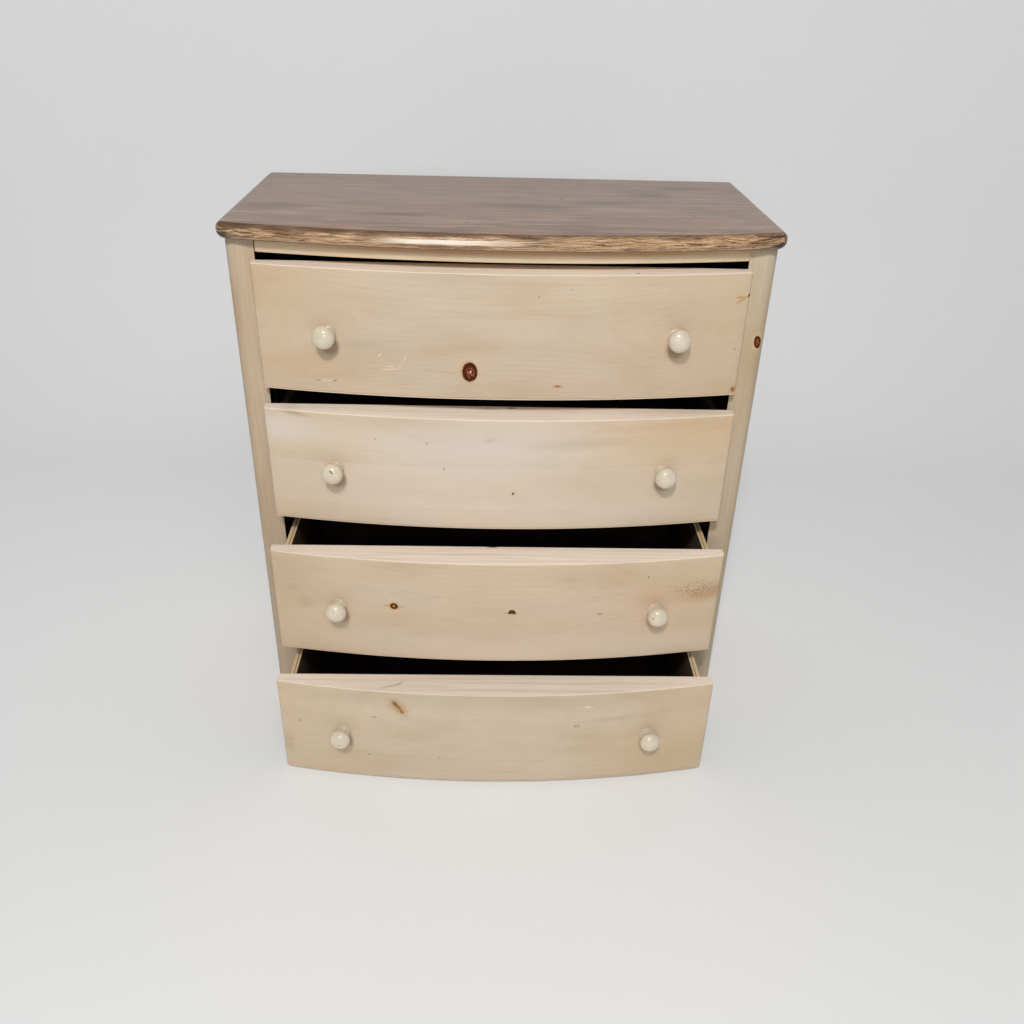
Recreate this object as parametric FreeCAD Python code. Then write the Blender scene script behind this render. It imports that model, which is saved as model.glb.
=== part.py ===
import FreeCAD, Part
import math
import os

# Bow front chest of drawers, in millimetres.
# +Z is up, +X is to the right of someone who faces the chest, and the front looks along -Y.
# The origin is on the floor, midway across, in the plane of the faces of the two front posts.

# ---- the case -----------------------------------------------------------------------------
CASE_WIDTH = 800.0
CASE_DEPTH = 357.0            # from the faces of the posts to the back of the side panels
CASE_HEIGHT = 876.0           # up to the underside of the top board
SIDE_PANEL_THICKNESS = 20.0
POST_WIDTH = 44.0
POST_DEPTH = 22.0
POST_CORNER_RADIUS = 20.0
TONGUE_WIDTH = 8.0            # tongue of a side panel in the groove of its post
TONGUE_LENGTH = 8.0

TOP_THICKNESS = 24.0
TOP_SIDE_OVERHANG = 7.5
TOP_BACK_OVERHANG = 6.0
TOP_BOW_CENTRE = 54.0         # front edge of the top, ahead of the posts, at mid width
TOP_BOW_RISE = 44.0           # how far the bow of the top falls back towards its corners
TOP_CORNER_RADIUS = 22.0
TOP_NOSE_RADIUS = 11.0

TOP_RAIL_HEIGHT = 18.5
TOP_RAIL_GAP = 11.3           # between the top rail and the top drawer front
TOP_RAIL_BOW = 34.5
TOP_RAIL_BACK = 20.0          # depth of the top rail behind the faces of the posts

BACK_PANEL_THICKNESS = 6.0
BACK_REBATE_WIDTH = 10.0
BACK_RAIL_THICKNESS = 18.0
BACK_RAIL_HEIGHT = 44.0
CLEAT_SIZE = 20.0
CLEAT_END_GAP = 5.5           # left free at each end of a cleat

# ---- rails and runners that carry the drawers ---------------------------------------------
RAIL_THICKNESS = 18.0
RAIL_DEPTH = 60.0
HOUSING_DEPTH = 6.0           # how far a rail is let into the side panels
LEDGE_WIDTH = 16.0            # part of a runner that the drawer side slides on
GUIDE_HEIGHT = 14.0           # part of a runner beside the drawer, above the ledge

# ---- drawers ------------------------------------------------------------------------------
DRAWER_COUNT = 4
FRONT_GAP = 25.9              # between one drawer front and the next
FRONT_FLOOR_CLEARANCE = 10.5
FRONT_LAP = 4.0               # how far a drawer front covers the post at each end
FRONT_END_THICKNESS = 17.1
FRONT_BOW = 34.9
FRONT_END_ROUND = 3.5
FRONT_EDGE_CHAMFER = 1.5
SPACE_BEHIND_DRAWER = 13.0    # from a closed drawer to the back rails
DRAWER_SIDE_THICKNESS = 10.0
SIDE_TOP_DROP = 15.0          # top edge of a drawer side, below the top of its front
DRAWER_BACK_THICKNESS = 10.0
DRAWER_BACK_INSET = 12.0
DRAWER_BACK_DROP = 8.0        # top edge of the drawer back, below the drawer sides
BACK_HOUSING_DEPTH = 4.0
BOTTOM_THICKNESS = 4.0
BOTTOM_GROOVE_DEPTH = 5.0
BOTTOM_RISE = 10.0            # underside of the drawer bottom, above the drawer sides' edge
DOVETAIL_LENGTH = 9.0
DOVETAIL_NECK = 6.0
DOVETAIL_ROOT = 9.0
DRAWER_OPEN_AT_REST = [0.0, 16.6, 80.6, 137.8]   # from the top drawer to the bottom one

# ---- knobs --------------------------------------------------------------------------------
KNOB_SPACING = 509.0
KNOB_RISE = 2.5               # above the middle of the drawer front
KNOB_BALL_RADIUS = 17.0
KNOB_BALL_DEPTH = 11.6        # half of the flattened ball along its axis
KNOB_BALL_CENTRE = 21.5       # out from the face of the drawer front
KNOB_BALL_BANDS = 5           # flat bands that the turned ball is made of
KNOB_COLLAR_RADIUS = 12.8
KNOB_COLLAR_LENGTH = 8.4
KNOB_NECK_RADIUS = 10.8

# ---- clearances ---------------------------------------------------------------------------
RUNNING_GAP = 0.3             # a drawer over its runners, and a closed front before the posts
SLIDE_CLEARANCE = 1.0         # drawer side to runner guide, each side
GUIDE_OVERHANG = 10.0         # runner guide, inwards of the post's edge

# ---- sizes that follow --------------------------------------------------------------------
HALF_CASE = CASE_WIDTH / 2
HALF_INSIDE = HALF_CASE - SIDE_PANEL_THICKNESS
HALF_OPENING = HALF_CASE - POST_WIDTH
HALF_GUIDE = HALF_OPENING - GUIDE_OVERHANG
HALF_DRAWER = HALF_GUIDE - SLIDE_CLEARANCE
HALF_FRONT = HALF_OPENING + FRONT_LAP
BACK_PANEL_FACE = CASE_DEPTH - BACK_PANEL_THICKNESS
BACK_RAIL_FACE = BACK_PANEL_FACE - BACK_RAIL_THICKNESS
RAIL_BACK = POST_DEPTH + RAIL_DEPTH
DRAWER_LENGTH = BACK_RAIL_FACE - SPACE_BEHIND_DRAWER
SPACE_FOR_FRONTS = (CASE_HEIGHT - TOP_RAIL_HEIGHT - TOP_RAIL_GAP - FRONT_FLOOR_CLEARANCE
                    - (DRAWER_COUNT - 1) * FRONT_GAP)
FRONT_HEIGHT = SPACE_FOR_FRONTS / DRAWER_COUNT
DRAWER_PITCH = FRONT_HEIGHT + FRONT_GAP
SIDE_RISE = RAIL_THICKNESS + RUNNING_GAP - FRONT_FLOOR_CLEARANCE
SIDE_HEIGHT = FRONT_HEIGHT - SIDE_RISE - SIDE_TOP_DROP
FRONT_BOW_RADIUS = (HALF_FRONT ** 2 + FRONT_BOW ** 2) / (2 * FRONT_BOW)
FRONT_BOW_CENTRE = FRONT_BOW_RADIUS - FRONT_END_THICKNESS - FRONT_BOW


def front_bottom(number):
    """Height of the lower edge of a drawer front; drawer 1 is the top one."""
    return FRONT_FLOOR_CLEARANCE + (DRAWER_COUNT - number) * DRAWER_PITCH


def rail_top(number):
    """Height of the rail and runners that carry a drawer."""
    return front_bottom(number) + SIDE_RISE - RUNNING_GAP


def block(x0, x1, y0, y1, z0, z1):
    """A square-edged board between two opposite corners."""
    return Part.makeBox(x1 - x0, y1 - y0, z1 - z0, FreeCAD.Vector(x0, y0, z0))


def mirrored(shape):
    """The left-hand copy of a right-hand piece."""
    return shape.mirror(FreeCAD.Vector(0, 0, 0), FreeCAD.Vector(1, 0, 0))


def prism(points, z0, z1):
    """A straight-sided outline in plan, raised from z0 to z1."""
    outline = [FreeCAD.Vector(x, y, z0) for x, y in points]
    wire = Part.makePolygon(outline + outline[:1])
    return Part.Face(wire).extrude(FreeCAD.Vector(0, 0, z1 - z0))


def bowed_board(half_width, back, ends, centre, z0, z1):
    """A board with a flat back and a front bowed to one arc."""
    left_back = FreeCAD.Vector(-half_width, back, z0)
    left_end = FreeCAD.Vector(-half_width, ends, z0)
    middle = FreeCAD.Vector(0, centre, z0)
    right_end = FreeCAD.Vector(half_width, ends, z0)
    right_back = FreeCAD.Vector(half_width, back, z0)
    edges = [
        Part.makeLine(left_back, left_end),
        Part.Arc(left_end, middle, right_end).toShape(),
        Part.makeLine(right_end, right_back),
        Part.makeLine(right_back, left_back),
    ]
    return Part.Face(Part.Wire(edges)).extrude(FreeCAD.Vector(0, 0, z1 - z0))


def upright_edges(shape, at_front_of):
    """The vertical edges of a board ahead of a given depth."""
    found = []
    for edge in shape.Edges:
        low, high = edge.BoundBox.ZMin, edge.BoundBox.ZMax
        upright = abs(edge.Length - (high - low)) < 0.01 and high - low > 1.0
        if upright and edge.BoundBox.YMax < at_front_of:
            found.append(edge)
    return found


def turned(outline, base, direction):
    """A turned piece: its outline of (radius, length) points spun about its axis."""
    points = [FreeCAD.Vector(r, 0, z) for r, z in outline]
    face = Part.Face(Part.makePolygon(points + points[:1]))
    solid = face.revolve(FreeCAD.Vector(0, 0, 0), FreeCAD.Vector(0, 0, 1), 360)
    turn = FreeCAD.Rotation(FreeCAD.Vector(0, 0, 1), FreeCAD.Vector(*direction))
    solid.Placement = FreeCAD.Placement(FreeCAD.Vector(*base), turn)
    return solid


# ---- carcase ------------------------------------------------------------------------------
def top_board():
    """Top board: bowed front with rounded corners and a nosing on the front and both ends."""
    half = HALF_CASE + TOP_SIDE_OVERHANG
    back = CASE_DEPTH + TOP_BACK_OVERHANG
    ends = TOP_BOW_RISE - TOP_BOW_CENTRE
    top = CASE_HEIGHT + TOP_THICKNESS
    board = bowed_board(half, back, ends, -TOP_BOW_CENTRE, CASE_HEIGHT, top)
    board = board.makeFillet(TOP_CORNER_RADIUS, upright_edges(board, back - 1.0))
    nosed = []
    for edge in board.Edges:
        box = edge.BoundBox
        level = box.ZMax - box.ZMin < 0.01
        if level and box.YMin < back - 1.0:
            nosed.append(edge)
    return board.makeFillet(TOP_NOSE_RADIUS, nosed)


def post():
    """Right front post, with a rounded outer corner and a groove for the side panel."""
    body = block(HALF_OPENING, HALF_CASE, 0, POST_DEPTH, 0, CASE_HEIGHT)
    corner = []
    for edge in upright_edges(body, POST_DEPTH - 1.0):
        if edge.BoundBox.XMin > HALF_CASE - 1.0:
            corner.append(edge)
    body = body.makeFillet(POST_CORNER_RADIUS, corner)
    middle = HALF_CASE - SIDE_PANEL_THICKNESS / 2
    groove = block(middle - TONGUE_WIDTH / 2, middle + TONGUE_WIDTH / 2,
                   POST_DEPTH - TONGUE_LENGTH, POST_DEPTH, 0, CASE_HEIGHT)
    return body.cut(groove)


def side_panel():
    """Right side panel: tongue at the front, rebate at the back, housings for the rails."""
    middle = HALF_CASE - SIDE_PANEL_THICKNESS / 2
    panel = block(HALF_INSIDE, HALF_CASE, POST_DEPTH, CASE_DEPTH, 0, CASE_HEIGHT)
    tongue = block(middle - TONGUE_WIDTH / 2, middle + TONGUE_WIDTH / 2,
                   POST_DEPTH - TONGUE_LENGTH, POST_DEPTH, 0, CASE_HEIGHT)
    panel = panel.fuse(tongue).removeSplitter()
    cuts = [block(HALF_INSIDE, HALF_INSIDE + BACK_REBATE_WIDTH,
                  BACK_PANEL_FACE, CASE_DEPTH, 0, CASE_HEIGHT)]
    for number in range(1, DRAWER_COUNT + 1):
        top = rail_top(number)
        cuts.append(block(HALF_INSIDE, HALF_INSIDE + HOUSING_DEPTH,
                          POST_DEPTH, RAIL_BACK, top - RAIL_THICKNESS, top))
    return panel.cut(Part.Compound(cuts))


def drawer_rail(number):
    """Rail across the case at the front of a pair of runners, let into the side panels."""
    top = rail_top(number)
    half = HALF_INSIDE + HOUSING_DEPTH
    rail = block(-half, half, POST_DEPTH, RAIL_BACK, top - RAIL_THICKNESS, top)
    if number == DRAWER_COUNT:
        lip = block(-HALF_OPENING, HALF_OPENING, 0, POST_DEPTH, top - RAIL_THICKNESS, top)
        rail = rail.fuse(lip).removeSplitter()
    return rail


def top_rail():
    """Bowed rail between the posts, under the top board."""
    return bowed_board(HALF_OPENING, TOP_RAIL_BACK, 0, -TOP_RAIL_BOW,
                       CASE_HEIGHT - TOP_RAIL_HEIGHT, CASE_HEIGHT)


def back_rail(z0):
    """Rail across the back of the case, ahead of the back panel."""
    return block(-HALF_INSIDE, HALF_INSIDE, BACK_RAIL_FACE, BACK_PANEL_FACE,
                 z0, z0 + BACK_RAIL_HEIGHT)


def back_panel():
    """Thin back panel, set in the rebates of the side panels."""
    half = HALF_INSIDE + BACK_REBATE_WIDTH
    return block(-half, half, BACK_PANEL_FACE, CASE_DEPTH, 0, CASE_HEIGHT)


def runner(number):
    """Right runner: a ledge under the drawer side and a guide beside it."""
    top = rail_top(number)
    section = [
        (HALF_GUIDE - LEDGE_WIDTH, top - RAIL_THICKNESS),
        (HALF_INSIDE, top - RAIL_THICKNESS),
        (HALF_INSIDE, top + GUIDE_HEIGHT),
        (HALF_GUIDE, top + GUIDE_HEIGHT),
        (HALF_GUIDE, top),
        (HALF_GUIDE - LEDGE_WIDTH, top),
    ]
    points = [FreeCAD.Vector(x, RAIL_BACK, z) for x, z in section]
    face = Part.Face(Part.makePolygon(points + points[:1]))
    return face.extrude(FreeCAD.Vector(0, BACK_RAIL_FACE - RAIL_BACK, 0))


def cleat():
    """Right cleat in the corner between the side panel and the top board."""
    return block(HALF_INSIDE - CLEAT_SIZE, HALF_INSIDE,
                 RAIL_BACK + CLEAT_END_GAP, BACK_RAIL_FACE - CLEAT_END_GAP,
                 CASE_HEIGHT - CLEAT_SIZE, CASE_HEIGHT)


# ---- one drawer, closed, with the lower edge of its front at z = 0 -------------------------
def dovetail_plan(half_thickness_at_neck, half_thickness_at_root):
    """Plan of a dovetail on the centre line of the right drawer side."""
    middle = HALF_DRAWER - DRAWER_SIDE_THICKNESS / 2
    return [
        (middle - half_thickness_at_neck, 0),
        (middle + half_thickness_at_neck, 0),
        (middle + half_thickness_at_root, -DOVETAIL_LENGTH),
        (middle - half_thickness_at_root, -DOVETAIL_LENGTH),
    ]


def face_point(x):
    """Point on the bowed face of a drawer front, and the direction square to it."""
    slope = x / FRONT_BOW_RADIUS
    depth = math.sqrt(1 - slope ** 2)
    point = (x, FRONT_BOW_CENTRE - FRONT_BOW_RADIUS * depth, FRONT_HEIGHT / 2 + KNOB_RISE)
    return point, (slope, -depth, 0)


def drawer_front():
    """Solid drawer front, with stopped dovetail slots and a groove for the bottom."""
    ends = -FRONT_END_THICKNESS
    board = bowed_board(HALF_FRONT, 0, ends, ends - FRONT_BOW, 0, FRONT_HEIGHT)
    board = board.makeFillet(FRONT_END_ROUND, upright_edges(board, -1.0))
    arrises = []
    for edge in board.Edges:
        box = edge.BoundBox
        level = box.ZMax - box.ZMin < 0.01
        if level and box.YMax < -0.5:
            arrises.append(edge)
    board = board.makeChamfer(FRONT_EDGE_CHAMFER, arrises)
    slot = prism(dovetail_plan(DOVETAIL_NECK / 2, DOVETAIL_ROOT / 2), 0, SIDE_RISE + SIDE_HEIGHT)
    groove_half = HALF_DRAWER - DRAWER_SIDE_THICKNESS + BOTTOM_GROOVE_DEPTH
    groove_low = SIDE_RISE + BOTTOM_RISE
    groove = block(-groove_half, groove_half, -BOTTOM_GROOVE_DEPTH, 0,
                   groove_low, groove_low + BOTTOM_THICKNESS)
    return board.cut(Part.Compound([slot, mirrored(slot), groove]))


def drawer_side():
    """Right drawer side, with its dovetail, bottom groove and housing for the back."""
    inner = HALF_DRAWER - DRAWER_SIDE_THICKNESS
    top = SIDE_RISE + SIDE_HEIGHT
    board = block(inner, HALF_DRAWER, 0, DRAWER_LENGTH, SIDE_RISE, top)
    tail = prism(dovetail_plan(DOVETAIL_NECK / 2, DOVETAIL_ROOT / 2), SIDE_RISE, top)
    board = board.fuse(tail)
    groove_low = SIDE_RISE + BOTTOM_RISE
    groove = block(inner, inner + BOTTOM_GROOVE_DEPTH, -DOVETAIL_LENGTH, DRAWER_LENGTH,
                   groove_low, groove_low + BOTTOM_THICKNESS)
    back_face = DRAWER_LENGTH - DRAWER_BACK_INSET
    housing = block(inner, inner + BACK_HOUSING_DEPTH,
                    back_face - DRAWER_BACK_THICKNESS, back_face,
                    groove_low + BOTTOM_THICKNESS, top - DRAWER_BACK_DROP)
    return board.cut(Part.Compound([groove, housing]))


def drawer_back():
    """Drawer back, housed between the sides and standing on the bottom panel."""
    half = HALF_DRAWER - DRAWER_SIDE_THICKNESS + BACK_HOUSING_DEPTH
    face = DRAWER_LENGTH - DRAWER_BACK_INSET
    low = SIDE_RISE + BOTTOM_RISE + BOTTOM_THICKNESS
    return block(-half, half, face - DRAWER_BACK_THICKNESS, face,
                 low, SIDE_RISE + SIDE_HEIGHT - DRAWER_BACK_DROP)


def drawer_bottom():
    """Thin drawer bottom, slid into the grooves from behind and under the back."""
    half = HALF_DRAWER - DRAWER_SIDE_THICKNESS + BOTTOM_GROOVE_DEPTH
    low = SIDE_RISE + BOTTOM_RISE
    panel = block(-half, half, -BOTTOM_GROOVE_DEPTH, DRAWER_LENGTH - DRAWER_BACK_INSET,
                  low, low + BOTTOM_THICKNESS)
    return panel


def knob(x):
    """Round knob, square to the bowed face: collar, neck and slightly flattened ball."""
    neck_angle = -math.acos(KNOB_NECK_RADIUS / KNOB_BALL_RADIUS)
    outline = [
        (0, 0),
        (KNOB_COLLAR_RADIUS, 0),
        (KNOB_COLLAR_RADIUS, KNOB_COLLAR_LENGTH),
    ]
    for band in range(KNOB_BALL_BANDS):
        angle = neck_angle + (math.pi / 2 - neck_angle) * band / KNOB_BALL_BANDS
        outline.append((KNOB_BALL_RADIUS * math.cos(angle),
                        KNOB_BALL_CENTRE + KNOB_BALL_DEPTH * math.sin(angle)))
    outline.append((0, KNOB_BALL_CENTRE + KNOB_BALL_DEPTH))
    point, outward = face_point(x)
    return turned(outline, point, outward)


def drawer_pieces():
    """All the pieces of one drawer by name."""
    side = drawer_side()
    half = KNOB_SPACING / 2
    return {
        "front": drawer_front(),
        "side_left": mirrored(side),
        "side_right": side,
        "back": drawer_back(),
        "bottom": drawer_bottom(),
        "knobs": Part.Compound([knob(-half), knob(half)]),
    }


# ---- the whole chest ----------------------------------------------------------------------
def case_pieces():
    """All the pieces of the case by name."""
    pieces = {
        "top_board": top_board(),
        "top_rail": top_rail(),
        "back_rail_top": back_rail(CASE_HEIGHT - BACK_RAIL_HEIGHT),
        "back_rail_bottom": back_rail(0),
        "back_panel": back_panel(),
    }
    for name, piece in (("side_panel", side_panel()), ("post", post()), ("cleat", cleat())):
        pieces[name + "_right"] = piece
        pieces[name + "_left"] = mirrored(piece)
    for number in range(1, DRAWER_COUNT + 1):
        strip = runner(number)
        pieces["runner_%d_right" % number] = strip
        pieces["runner_%d_left" % number] = mirrored(strip)
        rail = "base_rail" if number == DRAWER_COUNT else "drawer_rail_%d" % number
        pieces[rail] = drawer_rail(number)
    return pieces


def chest():
    """Every piece of the chest, the drawers standing open as far as they are at rest."""
    pieces = case_pieces()
    for number in range(1, DRAWER_COUNT + 1):
        out = DRAWER_OPEN_AT_REST[number - 1] + RUNNING_GAP
        place = FreeCAD.Vector(0, -out, front_bottom(number))
        for name, shape in drawer_pieces().items():
            moved = shape.copy()
            moved.translate(place)
            pieces["drawer_%d_%s" % (number, name)] = moved
    return pieces


os.makedirs("parts", exist_ok=True)
for name, shape in chest().items():
    shape.exportStep("parts/%s.step" % name)
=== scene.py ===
import math
import bmesh
import bpy
from mathutils import Matrix, Vector


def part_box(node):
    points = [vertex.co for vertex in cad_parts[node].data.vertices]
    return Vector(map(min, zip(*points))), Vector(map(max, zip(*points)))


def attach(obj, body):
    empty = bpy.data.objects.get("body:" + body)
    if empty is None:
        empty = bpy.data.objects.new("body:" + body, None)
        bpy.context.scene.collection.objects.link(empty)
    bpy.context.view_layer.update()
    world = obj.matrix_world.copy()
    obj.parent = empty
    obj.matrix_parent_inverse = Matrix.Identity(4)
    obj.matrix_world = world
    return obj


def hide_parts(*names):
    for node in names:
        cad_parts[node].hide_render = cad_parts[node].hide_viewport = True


# Bow front chest of drawers, in metres, in the frame of the CAD model.
# +Z is up, +X is to the right of someone who faces the chest, and the front looks along -Y.

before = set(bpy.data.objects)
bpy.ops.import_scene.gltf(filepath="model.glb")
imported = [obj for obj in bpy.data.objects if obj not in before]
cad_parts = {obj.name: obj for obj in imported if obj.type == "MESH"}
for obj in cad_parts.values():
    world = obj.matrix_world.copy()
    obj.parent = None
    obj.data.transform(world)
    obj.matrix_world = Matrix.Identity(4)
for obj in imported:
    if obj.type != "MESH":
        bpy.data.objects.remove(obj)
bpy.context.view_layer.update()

# ---- sizes that the finished pieces add to the CAD ------------------------------------------
FRONT_END_THICKNESS = 0.0171     # drawer front at its two ends
FRONT_END_ROUND = 0.0035
FRONT_EDGE_ROUND = 0.0014
FRONT_BACK_EASE = 0.0008
BOW_STEPS = 48
DOVETAIL_LENGTH = 0.009
DOVETAIL_NECK = 0.006
DOVETAIL_ROOT = 0.009
DRAWER_SIDE_THICKNESS = 0.010

TOP_BOW_RISE = 0.044             # how far the bow of the top falls back towards its corners
TOP_CORNER_RADIUS = 0.022
TOP_NOSE_RADIUS = 0.011
TOP_BACK_ROUND = 0.004
NOSE_STEPS = 7
CORNER_STEPS = 10

BOARD_EASE = 0.0008              # softened arris of a planed board

KNOB_SPACING = 0.509
KNOB_RISE = 0.0025               # above the middle of the drawer front
KNOB_BALL_RADIUS = 0.0170
KNOB_BALL_DEPTH = 0.0116         # half of the flattened ball along its axis
KNOB_BALL_CENTRE = 0.0215
KNOB_COLLAR_RADIUS = 0.0128
KNOB_NECK_RADIUS = 0.0102
# Beads of the collar: height, radius of the bead, and how far it stands in from the collar's.
KNOB_BEADS = [(0.0019, 0.0018, 0.0), (0.0055, 0.0017, 0.0005), (0.0090, 0.0016, 0.0012)]
KNOB_GROOVES = (0.0037, 0.0073, 0.0108)      # heights of the hollows beside the beads
KNOB_STEPS = 64
BALL_STEPS = 30
# How far each knob was drilled low, from its true place: left and right of drawers 1 to 4.
KNOB_SLIPS = {1: (0.0030, -0.0005), 2: (0, 0), 3: (-0.0005, 0.0030), 4: (0.0005, 0.0025)}

NAIL_HEAD_RADIUS = 0.0024
NAIL_HEAD_HEIGHT = 0.0006
NAIL_INSET = 0.005
NAILS_PER_EDGE = 5
SCREW_HEAD_RADIUS = 0.004
SCREW_HEAD_HEIGHT = 0.0022

DRAWERS = (1, 2, 3, 4)


# ---- camera ---------------------------------------------------------------------------------
CAMERA_PLACE = Vector((-0.0199, -1.3504, 1.2166))
CAMERA_PITCH = math.radians(30.1)
CAMERA_YAW = math.radians(1.8)
CAMERA_ROLL = math.radians(1.6)
CAMERA_LENS = 33.0
CAMERA_SENSOR = 36.0


def add_camera():
    """Camera before the chest and above it, looking down at it."""
    forward = Vector((math.sin(CAMERA_YAW) * math.cos(CAMERA_PITCH),
                      math.cos(CAMERA_YAW) * math.cos(CAMERA_PITCH), -math.sin(CAMERA_PITCH)))
    level = Vector((math.cos(CAMERA_YAW), -math.sin(CAMERA_YAW), 0))
    upward = level.cross(forward)
    right = math.cos(CAMERA_ROLL) * level + math.sin(CAMERA_ROLL) * upward
    top = math.cos(CAMERA_ROLL) * upward - math.sin(CAMERA_ROLL) * level
    turn = Matrix((right, top, -forward)).transposed().to_4x4()
    data = bpy.data.cameras.new("camera")
    data.lens = CAMERA_LENS
    data.sensor_width = CAMERA_SENSOR
    camera = bpy.data.objects.new("camera", data)
    camera.matrix_world = Matrix.Translation(CAMERA_PLACE) @ turn
    bpy.context.scene.collection.objects.link(camera)
    bpy.context.scene.camera = camera


add_camera()


# ---- finishes: a small kit for node materials -----------------------------------------------
def srgb(red, green, blue):
    """A colour given as 0 to 255 on a screen, as the linear values of a shader."""
    linear = []
    for level in (red, green, blue):
        level /= 255
        linear.append(level / 12.92 if level <= 0.04045 else ((level + 0.055) / 1.055) ** 2.4)
    return (*linear, 1.0)


class Finish:
    """A node material in the making. Each method adds a node and returns its output."""

    def __init__(self, name):
        self.material = bpy.data.materials.new(name)
        self.material.use_nodes = True
        self.tree = self.material.node_tree
        self.shader = self.tree.nodes["Principled BSDF"]
        self.place = self.node("ShaderNodeTexCoord", {}).outputs["Object"]

    def node(self, kind, sockets, **settings):
        """A new node: its sockets by name, as values or links, and its settings."""
        made = self.tree.nodes.new(kind)
        for key, value in settings.items():
            setattr(made, key, value)
        for key, value in sockets.items():
            self.feed(made.inputs[key], value)
        return made

    def feed(self, socket, value):
        if isinstance(value, bpy.types.NodeSocket):
            self.tree.links.new(value, socket)
        else:
            socket.default_value = value

    def math(self, operation, first, second=0.0, third=0.0):
        sockets = {0: first, 1: second, 2: third}
        return self.node("ShaderNodeMath", sockets, operation=operation).outputs[0]

    def times(self, first, second):
        return self.math("MULTIPLY", first, second)

    def gap(self, first, second):
        """How far apart two values are."""
        return self.math("ABSOLUTE", self.math("SUBTRACT", first, second))

    def stray(self, value, noise, amount):
        """A value moved up or down by a noise, by half the amount at the most."""
        return self.math("ADD", value, self.math("MULTIPLY_ADD", noise, amount, -amount / 2))

    def move(self, scale=(1, 1, 1), centre=(0, 0, 0), turn=(0, 0, 0), place=None):
        """Coordinates measured from a centre, turned and divided by a scale."""
        sockets = {"Vector": place or self.place, "Location": centre, "Rotation": turn,
                   "Scale": scale}
        return self.node("ShaderNodeMapping", sockets, vector_type="TEXTURE").outputs[0]

    def noise(self, scale, centre=(0, 0, 0), place=None, detail=2.0, roughness=0.5,
              distortion=0.0):
        """Soft noise whose patches are about as large as the scale."""
        sockets = {"Vector": self.move(scale, centre, place=place), "Scale": 1.0, "Detail": detail,
                   "Roughness": roughness, "Distortion": distortion}
        return self.node("ShaderNodeTexNoise", sockets).outputs["Fac"]

    def step(self, value, low, high, start=0.0, end=1.0):
        """A soft step from start to end as the value goes from low to high."""
        sockets = {"Value": value, "From Min": low, "From Max": high, "To Min": start,
                   "To Max": end}
        return self.node("ShaderNodeMapRange", sockets, interpolation_type="SMOOTHSTEP").outputs[0]

    def ramp(self, value, stops):
        made = self.node("ShaderNodeValToRGB", {0: value})
        band = made.color_ramp
        while len(band.elements) < len(stops):
            band.elements.new(1.0)
        for element, (position, colour) in zip(band.elements, stops):
            element.position = position
            element.color = colour
        return made.outputs[0]

    def blend(self, amount, first, second):
        sockets = {"Factor": amount, "A": first, "B": second}
        return self.node("ShaderNodeMix", sockets, data_type="RGBA").outputs["Result"]

    def lay(self, under, over, value, low, high, amount=1.0):
        """One colour laid over another, more and more as the value goes from low to high."""
        return self.blend(self.step(value, low, high, 0.0, amount), under, over)

    def split(self, place=None):
        return self.node("ShaderNodeSeparateXYZ", {0: place or self.place}).outputs

    def distance(self, place):
        return self.node("ShaderNodeVectorMath", {0: place}, operation="LENGTH").outputs["Value"]

    def spot(self, centre, radii, turn=(0, 0, 0)):
        """Distance from the middle of an ellipsoid: 1 at its surface."""
        return self.distance(self.move(radii, centre, turn))

    def worn(self):
        """How worn a point of an arris is, from 0 to 1, as marked on the mesh."""
        return self.node("ShaderNodeAttribute", {}, attribute_name=WORN).outputs["Fac"]

    def bump(self, height, strength, distance):
        sockets = {"Strength": strength, "Distance": distance, "Height": height}
        return self.node("ShaderNodeBump", sockets).outputs[0]

    def close(self, colour, roughness, normal=None, **settings):
        """Join the finish to the shader; settings are the shader's own constant sockets."""
        self.feed(self.shader.inputs["Base Color"], colour)
        self.feed(self.shader.inputs["Roughness"], roughness)
        if normal:
            self.feed(self.shader.inputs["Normal"], normal)
        for key, value in settings.items():
            self.shader.inputs[key.replace("_", " ")].default_value = value
        return self.material


WORN = "worn_arris"


# ---- marks in the wood ----------------------------------------------------------------------
# Kinds of mark: colour, strength, and how soft the rim is as a share of the size.
MARK_KINDS = {
    "resin": (srgb(188, 138, 76), 0.65, 0.70),
    "dash": (srgb(112, 80, 50), 0.75, 0.60),
    "dot": (srgb(112, 88, 62), 0.75, 0.60),
    "pit": (srgb(52, 32, 18), 0.95, 0.50),
    "scratch": (srgb(240, 220, 192), 0.80, 0.50),
    "smudge": (srgb(156, 140, 118), 0.22, 0.90),
    "smear": (srgb(150, 114, 78), 0.42, 0.90),
    "blush": (srgb(200, 156, 118), 0.26, 0.95),
    "halo": (srgb(222, 186, 136), 0.60, 0.80),
    "amber": (srgb(182, 122, 56), 0.85, 0.70),
    "toast": (srgb(184, 140, 94), 0.50, 0.90),
    "lime": (srgb(232, 216, 200), 0.42, 0.95),
    "chalk": (srgb(220, 210, 202), 0.60, 0.95),
    "tan": (srgb(204, 172, 130), 0.34, 0.95),
}
THROUGH = 1.0                    # a mark reaches through the whole board
MM = 0.001                       # the lists of marks are in millimetres


def front_box(number):
    """Corners of the box round one drawer front."""
    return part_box("drawer_%d_front" % number)


def about_y(turn):
    """Turn of a mark on a front, in degrees as seen from before it."""
    return (0, -math.radians(turn), 0)



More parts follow.
